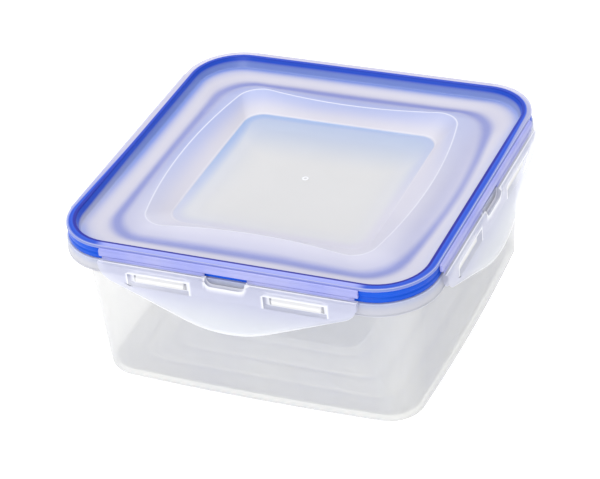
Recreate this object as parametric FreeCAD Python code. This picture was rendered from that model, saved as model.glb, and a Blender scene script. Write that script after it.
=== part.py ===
"""Square clip-lid food canister: a tapered tub, a dished lid with a seal, and four hinged flaps.

Millimetres. The origin is the middle of the tub's foot, +Z is up and -Y is the front.
Every side is alike, so a side's features are drawn once, on the front, and turned about Z.
Along a side the three directions are: along (x), out (away from the middle) and z.
"""
import FreeCAD, Part
import math
import os
from collections import namedtuple
from FreeCAD import Vector

# Driving sizes of the whole canister
lid_width = 155.0            # across the lid's lip, both ways
tub_height = 64.0            # foot to the top of the tub's rim
lid_stand = 6.4              # how far the lid's crown stands above the tub's rim
rim_corner = 23.2            # corner radius of the lid's lip

# Tub
wall = 1.5
floor_thickness = 1.8
rim_overhang = 6.3           # lid's lip beyond the outside of the wall, under the rim
taper_inset = 3.4            # the wall leans in by this much from rim to foot
mouth_corner = 16.7          # outside corner radius of the wall under the rim
foot_corner = 13.7           # outside corner radius of the wall at the foot
foot_bulge = 1.4             # the sides crown outwards by this much at the foot
foot_round = 2.5             # round between wall and foot
step_insets = (13.3, 23.0, 33.5)   # kick-up steps of the floor, in from the foot's outline
step_rise = 1.0
step_slope = 0.5             # run of each step's slanted riser
step_corner = 9.0
rim_skirt_depth = 5.7        # rim top to the lower edge of the turned-down skirt
rim_sheet = 1.6              # thickness of the rim's shelf
skirt_sheet = 1.5
skirt_margin = 0.5           # skirt's face beyond the lid's lip
bead_height = 0.9
bead_depth = 0.3             # bead beyond the skirt's face
rim_round = 0.5

# Catch lugs on the skirt
lug_drop = 1.0               # lug below the skirt's lower edge
lug_height = 3.5
lug_reach = 1.2              # lug beyond the bead
lug_lead = 1.6               # slanted lead-in at the lug's top
lug_root = 1.0               # depth of the lug inside the skirt

# Lid
lid_sheet = 1.3
rim_top_width = 3.9          # lip to the inner edge of the lid's rim
rim_inner_lean = 1.4         # the rim's inner wall leans in by this much
rim_crown = 0.8              # round of the rim's outer edge
rim_inner_round = 0.4
lip_height = 1.2             # thickness of the lid over the seal
seat_gap = 0.2               # lid and seal above the tub's rim
web_inset = 8.5              # lip to the inner edge of the flat web
valley_inset = 16.0
valley_depth = 1.5           # valley below the web
valley_corner = 16.0
crest_inset_side = 28.2      # lip to the crest's corner arcs, left and right
crest_inset_end = 23.5       # lip to the crest's corner arcs, front and back
crest_bulge = 4.7            # left and right sides of the crest swell outwards
crest_pinch = 4.0            # front and back sides of the crest draw inwards
crest_corner = 10.0
crest_height = 2.0           # crest above the web
panel_inset = 35.0           # lip to the edge of the sunken panel
panel_corner = 8.0
panel_depth = 3.5            # panel below the web
gate_mark_radius = 1.2
gate_mark_depth = 0.3

# Seal
seal_setback = 0.2           # seal behind the lid's lip
seal_fit = 0.05              # seal off the channel's inner wall, at the channel's roof
seal_round = 0.4

# Hinge plates on the lid, living hinges and flaps
plate_thickness = 1.3
plate_drop = 2.9             # lip's lower edge down to the plate's lower edge, less the lip
plate_end_gap = 0.3          # straight part of the lip beyond each plate's end
plate_bevel = 0.6
web_height = 1.3             # free length of the living hinge
web_sheet = 0.4
web_end_gap = 0.6            # hinge web short of the flap's end and of the notch
flap_clearance = 0.3         # flap off the tub's bead
flap_sheet = 2.1
plate_lip = 0.2              # plate's face beyond the flap's inner face
hinge_axis_margin = 0.2      # hinge line beyond the plate's face
flap_top_bevel = 1.0
flap_top_corner = 0.8
flap_end_corner = 8.0
flap_end_straight = 0.17     # upright stretch of the flap's end between its two corners
flap_slant = 19.67           # degrees that the lower edges slant down to the middle
flap_bow = 55.0              # radius of the flap's lower edge
flare_drop = 9.2             # flap's top down to the crease where it flares out
flare_inside = 14.6          # degrees, inner face
flare_outside = 11.3         # degrees, outer face
notch_half = 8.3
notch_depth = 3.2
notch_corner = 2.4
window_notch_margin = 7.3    # notch's side to the window's mouth
window_end_margin = 12.4     # window's mouth to the flap's end
window_end_splay = 1.8       # mouth wider than the window's inner edge, at each end
window_sill_splay = 1.0      # mouth lower than the window's inner edge
catch_gap = 0.4              # window's sill under the lug
lug_end_gap = 1.8            # window beyond each end of the lug
lug_top_gap = 0.8
cut_over = 1.0               # a cut runs past the faces it opens by this much
same_height = 1e-6           # rings nearer than this in height lie in one plane

SIDES = ("front", "right", "back", "left")

# Places worked out from the sizes above, as distances out from the middle and heights
lip_half = lid_width / 2
corner_centre = lip_half - rim_corner
mouth_half = lip_half - rim_overhang
foot_half = mouth_half - taper_inset
skirt_half = lip_half + skirt_margin
bead_half = skirt_half + bead_depth
shelf_underside = tub_height - rim_sheet
skirt_bottom = tub_height - rim_skirt_depth

seat_height = tub_height + seat_gap
web_top = seat_height + lid_sheet
crown_height = tub_height + lid_stand
lip_bottom = crown_height - lip_height
seal_outer = lip_half - seal_setback
seal_inner = lip_half - rim_top_width + lid_sheet + seal_fit

plate_face = lip_half + plate_thickness
plate_bottom = lip_bottom - plate_drop + seat_gap
plate_half = corner_centre - plate_end_gap
flap_top = plate_bottom - web_height
flap_inside = bead_half + flap_clearance
flap_outside = flap_inside + flap_sheet
flap_half = plate_half
hinge_height = plate_bottom - web_height / 2
hinge_out = plate_face + hinge_axis_margin

end_corner_reach = flap_end_corner * math.tan(math.radians(90 - flap_slant) / 2)
flap_end_height = flap_top - flap_top_corner - flap_end_straight - end_corner_reach
flap_point = flap_end_height - flap_half * math.tan(math.radians(flap_slant))

lug_bottom = skirt_bottom - lug_drop
lug_tip = bead_half + lug_reach
window_sill = lug_bottom - catch_gap
window_head = lug_bottom + lug_height + lug_top_gap
window_near = notch_half + window_notch_margin + window_end_splay
window_far = flap_half - window_end_margin - window_end_splay
lug_near = window_near + lug_end_gap
lug_far = window_far - lug_end_gap

Ring = namedtuple("Ring", "half_x half_y radius z bulge_x bulge_y")


def ring(half, radius, z, half_y=None, bulge_x=0.0, bulge_y=0.0):
    """A rounded square or rectangle lying at height z, whose sides may bulge out or in."""
    return Ring(half, half if half_y is None else half_y, radius, z, bulge_x, bulge_y)


def rim_ring(inset, z):
    """A ring parallel to the lid's lip, inset from it (negative is outside it)."""
    return ring(lip_half - inset, rim_corner - inset, z)


def side_end(along, out, radius, bulge):
    """Where a side runs tangent into its corner arc, as (along, out) from the middle.

    along and out are the corner arc's furthest reach along and across the side.
    """
    centre_along = along - radius
    centre_out = out - radius
    middle = out + bulge
    if bulge == 0:
        return centre_along, middle
    depth = middle - centre_out
    side_radius = (centre_along ** 2 + depth ** 2 - radius ** 2) / (2 * (depth - radius))
    side_centre = middle - side_radius
    share = side_radius / (side_radius - radius)
    return centre_along * share, side_centre + (centre_out - side_centre) * share


def ring_wire(shape):
    """The closed wire of a ring: four sides and four corner arcs, from the front side on."""
    front_along, front_out = side_end(shape.half_x, shape.half_y, shape.radius, shape.bulge_y)
    right_along, right_out = side_end(shape.half_y, shape.half_x, shape.radius, shape.bulge_x)
    centre = Vector(shape.half_x - shape.radius, -(shape.half_y - shape.radius), 0)
    front_end = Vector(front_along, -front_out, 0)
    right_start = Vector(right_out, -right_along, 0)
    towards = (front_end - centre).normalize() + (right_start - centre).normalize()
    corner_middle = centre + towards.normalize() * shape.radius
    front_middle = Vector(0, -(shape.half_y + shape.bulge_y), 0)
    right_middle = Vector(shape.half_x + shape.bulge_x, 0, 0)

    def placed(point, sign_x, sign_y):
        return Vector(point.x * sign_x, point.y * sign_y, shape.z)

    edges = []
    for sign in (1, -1):
        edges.append(arc_or_line(placed(front_end, -sign, sign), placed(front_middle, sign, sign),
                                 placed(front_end, sign, sign), shape.bulge_y))
        edges.append(arc_or_line(placed(front_end, sign, sign), placed(corner_middle, sign, sign),
                                 placed(right_start, sign, sign), shape.radius))
        edges.append(arc_or_line(placed(right_start, sign, sign), placed(right_middle, sign, sign),
                                 placed(right_start, sign, -sign), shape.bulge_x))
        edges.append(arc_or_line(placed(right_start, sign, -sign), placed(corner_middle, sign, -sign),
                                 placed(front_end, sign, -sign), shape.radius))
    return Part.Wire(edges)


def arc_or_line(start, middle, end, bend):
    """An arc through three points, or a straight edge where there is no bend."""
    if bend == 0:
        return Part.LineSegment(start, end).toShape()
    return Part.Arc(start, middle, end).toShape()


def band(shape_a, shape_b, wire_a, wire_b):
    """The faces between two neighbouring rings."""
    if abs(shape_a.z - shape_b.z) > same_height:
        return Part.makeLoft([wire_a, wire_b], False, True).Faces
    if shape_a.half_x > shape_b.half_x:
        return Part.makeFace([wire_a, wire_b], "Part::FaceMakerBullseye").Faces
    return Part.makeFace([wire_b, wire_a], "Part::FaceMakerBullseye").Faces


def skinned(rings, closed):
    """A solid skinned over rings: capped at both ends, or joined end to end into a loop."""
    wires = [ring_wire(shape) for shape in rings]
    faces = []
    for index in range(len(rings) - 1):
        faces += band(rings[index], rings[index + 1], wires[index], wires[index + 1])
    if closed:
        faces += band(rings[-1], rings[0], wires[-1], wires[0])
    else:
        faces += [Part.Face(wires[0]), Part.Face(wires[-1])]
    shell = Part.makeShell(faces)
    shell.sewShape()
    solid = Part.makeSolid(shell)
    if solid.Volume < 0:
        solid.reverse()
    return solid


def rounded_outline(corners, out):
    """A closed wire in the upright plane at this distance out, through (along, z, radius)."""
    count = len(corners)
    starts = []
    arcs = []
    for index in range(count):
        along, z, radius = corners[index]
        point = Vector(along, -out, z)
        before = Vector(corners[index - 1][0], -out, corners[index - 1][1])
        after = Vector(corners[(index + 1) % count][0], -out, corners[(index + 1) % count][1])
        back = (before - point).normalize()
        ahead = (after - point).normalize()
        half_angle = back.getAngle(ahead) / 2
        reach = radius / math.tan(half_angle)
        bisector = (back + ahead).normalize()
        middle = point + bisector * (radius / math.sin(half_angle) - radius)
        starts.append((point + back * reach, point + ahead * reach))
        arcs.append(middle)
    edges = []
    for index in range(count):
        entry, leave = starts[index]
        if corners[index][2] > 0:
            edges.append(Part.Arc(entry, arcs[index], leave).toShape())
        edges.append(Part.LineSegment(leave, starts[(index + 1) % count][0]).toShape())
    return Part.Wire(edges)


def through_cut(corners, out_from, out_to):
    """A prism of a rounded outline, running outwards from one distance to another."""
    face = Part.Face(rounded_outline(corners, out_from))
    return face.extrude(Vector(0, -(out_to - out_from), 0))


def along_side(section, near, far):
    """A prism of an (out, z) section, running along the front side from near to far."""
    points = [Vector(near, -out, z) for out, z in section]
    face = Part.Face(Part.makePolygon(points + points[:1]))
    return face.extrude(Vector(far - near, 0, 0))


def mirrored(shape):
    """The same shape on the other half of its side."""
    return shape.mirror(Vector(0, 0, 0), Vector(1, 0, 0))


def turned(shape, side):
    """A front-side shape turned onto the named side."""
    copy = shape.copy()
    copy.rotate(Vector(0, 0, 0), Vector(0, 0, 1), 90 * SIDES.index(side))
    return copy


def wall_ring(height, thickness):
    """The wall's outline at a height, in from its outside by thickness."""
    share = height / shelf_underside
    half = foot_half + taper_inset * share - thickness
    corner = foot_corner + (mouth_corner - foot_corner) * share - thickness
    bulge = foot_bulge * (1 - share)
    return ring(half, corner, height, bulge_x=bulge, bulge_y=bulge)


def step_ring(index, over, height):
    """One kick-up step's outline, grown by over."""
    return ring(foot_half - step_insets[index] + over, step_corner + over, height)


def foot_ring(inset, height):
    """The wall's outline at the foot, drawn in by inset."""
    return ring(foot_half - inset, foot_corner - inset, height, bulge_x=foot_bulge, bulge_y=foot_bulge)


def tub_floor_rings(base_height, over):
    """The stepped floor from its middle outwards, with its lowest level at base_height."""
    rings = []
    for index in reversed(range(len(step_insets))):
        upper = base_height + step_rise * (index + 1)
        rings.append(step_ring(index, over - step_slope, upper))
        rings.append(step_ring(index, over, upper - step_rise))
    return rings


def make_tub():
    """The tub: stepped floor, tapered wall, shelf, turned-down skirt and catch lugs."""
    inside = tub_floor_rings(floor_thickness, wall)
    inside.append(foot_ring(wall + foot_round, floor_thickness))
    inside.append(foot_ring(wall + foot_round * 0.3, floor_thickness + foot_round * 0.3))
    inside.append(wall_ring(floor_thickness + foot_round, wall))
    inside.append(wall_ring(shelf_underside, wall))
    rim = [ring(mouth_half - wall, mouth_corner - wall, tub_height - rim_round),
           ring(mouth_half - wall + rim_round, mouth_corner - wall + rim_round, tub_height),
           rim_ring(rim_round - skirt_margin, tub_height),
           rim_ring(-skirt_margin, tub_height - rim_round),
           rim_ring(-skirt_margin, skirt_bottom + bead_height),
           rim_ring(-skirt_margin - bead_depth, skirt_bottom + bead_height - bead_depth),
           rim_ring(-skirt_margin - bead_depth, skirt_bottom),
           rim_ring(skirt_sheet - skirt_margin, skirt_bottom),
           rim_ring(skirt_sheet - skirt_margin, shelf_underside)]
    outside = [wall_ring(shelf_underside, 0.0),
               wall_ring(foot_round, 0.0),
               foot_ring(foot_round * 0.3, foot_round * 0.3),
               foot_ring(foot_round, 0.0)]
    underside = list(reversed(tub_floor_rings(0.0, 0.0)))
    tub = skinned(inside + rim + outside + underside, closed=False)
    lug = make_lug()
    for side in SIDES:
        tub = tub.fuse(turned(lug, side))
        tub = tub.fuse(turned(mirrored(lug), side))
    return tub


def make_lug():
    """One catch lug on the right half of the front skirt."""
    root = skirt_half - lug_root
    lead_start = lug_bottom + lug_height - lug_lead
    section = [(root, lug_bottom), (lug_tip, lug_bottom), (lug_tip, lead_start),
               (lug_tip - lug_lead, lug_bottom + lug_height), (root, lug_bottom + lug_height)]
    return along_side(section, lug_near, lug_far)


def dish_rings(drop):
    """The lid's dish from the panel's edge out to the rim's foot, lowered by drop."""
    crest = ring(lip_half - crest_inset_side, crest_corner, web_top + crest_height - drop,
                 half_y=lip_half - crest_inset_end, bulge_x=crest_bulge, bulge_y=-crest_pinch)
    return [ring(lip_half - panel_inset, panel_corner, web_top - panel_depth - drop),
            crest,
            ring(lip_half - valley_inset, valley_corner, web_top - valley_depth - drop),
            rim_ring(web_inset, web_top - drop)]


def make_lid():
    """The lid: sunken panel, crest, valley, web, rim with its seal channel, and hinge plates."""
    rim_foot = rim_top_width + rim_inner_lean
    over = [rim_ring(rim_foot, web_top),
            rim_ring(rim_top_width, crown_height - rim_inner_round),
            rim_ring(rim_top_width - rim_inner_round, crown_height),
            rim_ring(rim_crown, crown_height),
            rim_ring(0.0, crown_height - rim_crown),
            rim_ring(0.0, lip_bottom)]
    channel = [rim_ring(rim_top_width - lid_sheet, lip_bottom),
               rim_ring(rim_foot - lid_sheet, seat_height)]
    under = list(reversed(dish_rings(lid_sheet)))
    lid = skinned(dish_rings(0.0) + over + channel + under, closed=False)
    plate = make_hinge_plate()
    for side in SIDES:
        lid = lid.fuse(turned(plate, side))
    panel_top = web_top - panel_depth
    gate_mark = Part.makeCylinder(gate_mark_radius, gate_mark_depth + cut_over,
                                  Vector(0, 0, panel_top - gate_mark_depth))
    return lid.cut(gate_mark)


def make_hinge_plate():
    """The upright plate hanging from the lip along the front side."""
    section = [(lip_half, plate_bottom), (plate_face, plate_bottom),
               (plate_face, crown_height - rim_crown - plate_bevel),
               (plate_face - plate_bevel, crown_height - rim_crown),
               (lip_half - rim_crown, crown_height - rim_crown),
               (lip_half - rim_crown, lip_bottom), (lip_half, lip_bottom)]
    return along_side(section, -plate_half, plate_half)


def make_seal():
    """The seal: a square-cut ring with eased edges that fills the lid's channel."""
    outer = lip_half - seal_outer
    inner = lip_half - seal_inner
    rings = [rim_ring(inner, lip_bottom - seal_round), rim_ring(inner, seat_height + seal_round),
             rim_ring(inner - seal_round, seat_height), rim_ring(outer + seal_round, seat_height),
             rim_ring(outer, seat_height + seal_round), rim_ring(outer, lip_bottom - seal_round),
             rim_ring(outer + seal_round, lip_bottom), rim_ring(inner - seal_round, lip_bottom)]
    return skinned(rings, closed=True)


def make_living_hinge():
    """The two thin webs that join the front flap to its hinge plate."""
    middle = (flap_inside + plate_face) / 2
    section = [(middle - web_sheet / 2, flap_top), (middle + web_sheet / 2, flap_top),
               (middle + web_sheet / 2, plate_bottom), (middle - web_sheet / 2, plate_bottom)]
    web = along_side(section, notch_half + web_end_gap, flap_half - web_end_gap - flap_top_corner)
    return Part.makeCompound([web, mirrored(web)])


def make_flap():
    """The front flap: a flared plate with a notch and two catch windows."""
    crease = flap_top - flare_drop
    fall = crease - flap_point
    inside_low = flap_inside + fall * math.tan(math.radians(flare_inside))
    outside_low = flap_outside + fall * math.tan(math.radians(flare_outside))
    section = [(flap_inside, flap_top), (flap_outside - flap_top_bevel, flap_top),
               (flap_outside, flap_top - flap_top_bevel), (flap_outside, crease),
               (outside_low, flap_point), (inside_low, flap_point), (flap_inside, crease)]
    bar = along_side(section, -flap_half - cut_over, flap_half + cut_over)
    outline = [(-flap_half, flap_top, flap_top_corner),
               (-flap_half, flap_end_height, flap_end_corner), (0.0, flap_point, flap_bow),
               (flap_half, flap_end_height, flap_end_corner), (flap_half, flap_top, flap_top_corner)]
    flap = bar.common(through_cut(outline, flap_inside - cut_over, outside_low + cut_over))
    notch_bottom = flap_top - notch_depth
    notch = [(-notch_half, flap_top + cut_over, 0.0), (-notch_half, notch_bottom, notch_corner),
             (notch_half, notch_bottom, notch_corner), (notch_half, flap_top + cut_over, 0.0)]
    flap = flap.cut(through_cut(notch, flap_inside - cut_over, flap_outside + cut_over))
    window = make_window()
    return flap.cut(window).cut(mirrored(window))


def make_window():
    """The splayed hole that a catch lug passes into, on the right half of the front flap."""
    lean_end = window_end_splay / flap_sheet
    lean_sill = window_sill_splay / flap_sheet
    wires = []
    for out in (flap_inside - cut_over, flap_outside + cut_over):
        end = (out - flap_inside) * lean_end
        sill = window_sill - (out - flap_inside) * lean_sill
        points = [Vector(window_near - end, -out, sill), Vector(window_far + end, -out, sill),
                  Vector(window_far + end, -out, window_head), Vector(window_near - end, -out, window_head)]
        wires.append(Part.makePolygon(points + points[:1]))
    return Part.makeLoft(wires, True, True)


def main():
    """Build every piece and write one STEP file for each."""
    os.makedirs("parts", exist_ok=True)
    pieces = {"tub": make_tub(), "lid": make_lid(), "seal": make_seal()}
    flap = make_flap()
    living_hinge = make_living_hinge()
    for side in SIDES:
        pieces["flap_" + side] = turned(flap, side)
        pieces["living_hinge_" + side] = turned(living_hinge, side)
    for name, shape in pieces.items():
        shape.exportStep("parts/" + name + ".step")
        print(name, "valid", shape.isValid(), "solids", len(shape.Solids), "volume", round(shape.Volume, 1))
    print("hinge line out", round(hinge_out, 2), "height", round(hinge_height, 2))


main()
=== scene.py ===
"""Looks of a square clip-lid food canister: frosted tub, dished lid, blue seal and four flaps.

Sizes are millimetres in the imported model's frame (+Z up, -Y the front).  The main ones are read
from its nodes, and the rest are fields of each class; meshes are made in metres.  Every side of
the canister is alike, so one side's pieces are drawn on the front and turned about Z.
"""
import logging
import math
from dataclasses import dataclass
from enum import Enum, IntEnum
from typing import Optional, Sequence, Union

import bmesh
import bpy
import numpy as np
from mathutils import Matrix, Vector

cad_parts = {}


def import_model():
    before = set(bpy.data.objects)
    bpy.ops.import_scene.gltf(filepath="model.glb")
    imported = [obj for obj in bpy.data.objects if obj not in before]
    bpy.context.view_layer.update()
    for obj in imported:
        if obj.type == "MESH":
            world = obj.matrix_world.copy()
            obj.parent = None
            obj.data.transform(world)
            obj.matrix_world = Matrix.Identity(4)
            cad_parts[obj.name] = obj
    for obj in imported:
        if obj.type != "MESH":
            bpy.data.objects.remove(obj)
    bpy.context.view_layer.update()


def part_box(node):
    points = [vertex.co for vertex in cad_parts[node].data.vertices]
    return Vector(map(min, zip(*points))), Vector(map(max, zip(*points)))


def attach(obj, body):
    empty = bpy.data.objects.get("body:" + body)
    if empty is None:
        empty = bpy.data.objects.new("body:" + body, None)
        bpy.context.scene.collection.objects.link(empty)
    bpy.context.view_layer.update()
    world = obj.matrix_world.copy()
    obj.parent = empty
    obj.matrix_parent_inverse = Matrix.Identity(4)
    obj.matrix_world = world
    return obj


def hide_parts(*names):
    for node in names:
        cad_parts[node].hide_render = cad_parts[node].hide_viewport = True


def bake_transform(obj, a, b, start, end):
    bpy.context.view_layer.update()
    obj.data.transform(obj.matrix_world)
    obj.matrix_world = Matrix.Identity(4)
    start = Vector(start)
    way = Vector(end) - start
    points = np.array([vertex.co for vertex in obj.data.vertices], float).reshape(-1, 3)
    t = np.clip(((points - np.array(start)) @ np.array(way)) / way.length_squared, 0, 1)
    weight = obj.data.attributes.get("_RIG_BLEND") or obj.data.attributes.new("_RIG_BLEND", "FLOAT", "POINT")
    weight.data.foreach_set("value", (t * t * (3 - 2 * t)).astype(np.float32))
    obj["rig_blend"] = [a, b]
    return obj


LOG = logging.getLogger("food_canister")
MM = 0.001
HAIR = 0.02                 # keeps two drawn faces out of one plane
SEAL_SETBACK = 0.2          # the seal's outside behind the lip
SEAL_WIDTH = 2.35
SKIRT_MARGIN = 0.5          # the tub's skirt beyond the lip
NOTCH_TO_WEB = 0.6          # from the flap's notch to the webs
POLYPROPYLENE_IOR = 1.49
SILICONE_IOR = 1.41
Number = Union[int, float]
Colour = tuple[float, float, float]


class Side(Enum):
    """A side of the canister and its quarter turns from the front."""

    FRONT = 0
    RIGHT = 1
    BACK = 2
    LEFT = 3

    @property
    def label(self) -> str:
        """The side's name as the nodes and bodies spell it."""
        return self.name.lower()

    @property
    def turn(self) -> Matrix:
        """The rotation that carries a front piece to this side."""
        return Matrix.Rotation(self.value * math.pi / 2, 4, "Z")


class LidRing(IntEnum):
    """The rings of the lid's upper skin, by their place in it."""

    INNER = 0
    PANEL = 1
    CREST = 2
    VALLEY = 3
    WEB = 4
    FOOT = 5
    CROWN = 6
    LIP = 7


# ---------------------------------------------------------------- shader maths


class Wire:
    """One output socket, so that shader maths reads as Python expressions."""

    def __init__(self, graph: "Graph", socket: bpy.types.NodeSocket) -> None:
        """Wrap a socket.

        Args:
            graph: the node graph the socket belongs to.
            socket: the output socket.
        """
        self.graph = graph
        self.socket = socket

    def _maths(self, operation: str, *values: Union["Wire", Number]) -> "Wire":
        """Add one Math node.

        Args:
            operation: the Math node's operation.
            *values: its inputs, in order.

        Returns:
            The node's output.
        """
        inputs = dict(enumerate(values))
        return self.graph.node("ShaderNodeMath", {"operation": operation}, inputs)

    def __add__(self, other: Union["Wire", Number]) -> "Wire":
        """Sum."""
        return self._maths("ADD", self, other)

    __radd__ = __add__

    def __sub__(self, other: Union["Wire", Number]) -> "Wire":
        """Difference."""
        return self._maths("SUBTRACT", self, other)

    def __rsub__(self, other: Number) -> "Wire":
        """Difference from a number."""
        return self._maths("SUBTRACT", other, self)

    def __mul__(self, other: Union["Wire", Number]) -> "Wire":
        """Product."""
        return self._maths("MULTIPLY", self, other)

    __rmul__ = __mul__

    def __truediv__(self, other: Union["Wire", Number]) -> "Wire":
        """Quotient."""
        return self._maths("DIVIDE", self, other)

    def __rtruediv__(self, other: Number) -> "Wire":
        """Quotient of a number."""
        return self._maths("DIVIDE", other, self)

    def __abs__(self) -> "Wire":
        """Size without its sign."""
        return self._maths("ABSOLUTE", self)

    def __pow__(self, other: Number) -> "Wire":
        """Power."""
        return self._maths("POWER", self, other)

    def __rpow__(self, other: Number) -> "Wire":
        """Power of a number."""
        return self._maths("POWER", other, self)

    def at_least(self, other: Union["Wire", Number]) -> "Wire":
        """The larger of the two."""
        return self._maths("MAXIMUM", self, other)

    def at_most(self, other: Union["Wire", Number]) -> "Wire":
        """The smaller of the two."""
        return self._maths("MINIMUM", self, other)

    def ramp(self, low: Number, high: Number) -> "Wire":
        """A smooth 0 to 1 between two values, either way round.

        Args:
            low: where the result is 0.
            high: where the result is 1.

        Returns:
            The smooth step.
        """
        rising = low < high
        ends = (0.0, 1.0) if rising else (1.0, 0.0)
        inputs = {"Value": self, "From Min": min(low, high), "From Max": max(low, high),
                  "To Min": ends[0], "To Max": ends[1]}
        return self.graph.node("ShaderNodeMapRange", {"interpolation_type": "SMOOTHSTEP"}, inputs)

    def hump(self, centre: Number, reach: Number) -> "Wire":
        """A soft band: 1 at centre and 0 beyond reach on both sides."""
        return abs(self - centre).ramp(reach, 0.0)

    def about(self, middle: Number, swing: Number) -> "Wire":
        """Noise about 0.5 turned into a value that swings about middle."""
        return (self - 0.5) * swing + middle


class Graph:
    """The nodes of one material."""

    def __init__(self, name: str) -> None:
        """Start an empty material of this name."""
        self.material = bpy.data.materials.new(name)
        self.material.use_nodes = True
        self.tree = self.material.node_tree
        self.tree.nodes.clear()

    def node(self, kind: str, settings: Optional[dict] = None, inputs: Optional[dict] = None,
             output: Union[int, str] = 0) -> Wire:
        """Add any node.

        Args:
            kind: the node's type.
            settings: attributes of the node, set before its inputs.
            inputs: values or links by socket name or index.
            output: which output is handed back.

        Returns:
            The chosen output.
        """
        node = self.tree.nodes.new(kind)
        for key, value in (settings or {}).items():
            setattr(node, key, value)
        for key, value in (inputs or {}).items():
            if isinstance(value, Wire):
                self.tree.links.new(value.socket, node.inputs[key])
            elif isinstance(value, tuple) and len(value) == 3 and node.inputs[key].type == "RGBA":
                node.inputs[key].default_value = (*value, 1.0)
            else:
                node.inputs[key].default_value = value
        return Wire(self, node.outputs[output]) if node.outputs else Wire(self, None)

    def position(self) -> tuple[Wire, Wire, Wire]:
        """The point's x, y and z in millimetres, in the piece's own space."""
        place = self.node("ShaderNodeTexCoord", output="Object")
        split = self.node("ShaderNodeSeparateXYZ", inputs={"Vector": place})
        outputs = split.socket.node.outputs
        return tuple(Wire(self, outputs[axis]) * (1 / MM) for axis in "XYZ")

    def reading(self, name: str) -> Wire:
        """A number that the mesh carries at each point."""
        return self.node("ShaderNodeAttribute", {"attribute_name": name}, output="Fac")

    def noise(self, scale: float, detail: float = 2.0, stretch: Colour = (1.0, 1.0, 1.0)) -> Wire:
        """Noise of this scale per metre in the piece's own space, about 0.5.

        Args:
            scale: cycles per metre.
            detail: octaves.
            stretch: factors on the three directions.

        Returns:
            The noise value.
        """
        place = self.node("ShaderNodeTexCoord", output="Object")
        mapped = self.node("ShaderNodeMapping", inputs={"Vector": place, "Scale": stretch})
        return self.node("ShaderNodeTexNoise", inputs={"Vector": mapped, "Scale": scale, "Detail": detail})

    def blend(self, factor: Union[Wire, Number], first: Union[Wire, Colour],
              second: Union[Wire, Colour]) -> Wire:
        """Mix two colours; a Mix node's colour sockets are its inputs 6 and 7 and its output 2."""
        return self.node("ShaderNodeMix", {"data_type": "RGBA"}, {0: factor, 6: first, 7: second}, output=2)

    def bump(self, height: Wire, strength: float, distance: float) -> Wire:
        """A bumped normal; distance is in metres."""
        inputs = {"Height": height, "Strength": strength, "Distance": distance}
        return self.node("ShaderNodeBump", inputs=inputs)

    def moulded(self, ripple: Wire, grain_scale: float, grain_share: float, strength: float,
                distance: float) -> Wire:
        """The normal of a moulded face: fine grain over a slow ripple.

        Args:
            ripple: the slow ripple.
            grain_scale: the grain's cycles per metre.
            grain_share: the grain's height beside the ripple's.
            strength: the bump's strength.
            distance: the bump's height in metres.

        Returns:
            The normal.
        """
        return self.bump(self.noise(grain_scale) * grain_share + ripple, strength, distance)

    def surface(self, **inputs: Union[Wire, Number, Colour]) -> bpy.types.Material:
        """Finish the material with one Principled shader.

        Args:
            **inputs: its sockets, with underscores for spaces.

        Returns:
            The finished material.
        """
        named = {key.replace("_", " "): value for key, value in inputs.items()}
        shader = self.node("ShaderNodeBsdfPrincipled", inputs=named)
        self.node("ShaderNodeOutputMaterial", inputs={"Surface": shader})
        return self.material


# ---------------------------------------------------------------- finishes


def rim_distance(x: Wire, y: Wire, corner_centre: float) -> Wire:
    """How far out a point lies, measured so that every ring parallel to the lip is one value.

    Args:
        x: the point's x in millimetres.
        y: the point's y in millimetres.
        corner_centre: where the lip's corner arcs are centred.

    Returns:
        The half width of the ring through the point.
    """
    over_x = abs(x) - corner_centre
    over_y = abs(y) - corner_centre
    round_part = (over_x.at_least(0) ** 2 + over_y.at_least(0) ** 2) ** 0.5
    flat_part = over_x.at_least(over_y).at_most(0)
    return round_part + flat_part + corner_centre


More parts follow.
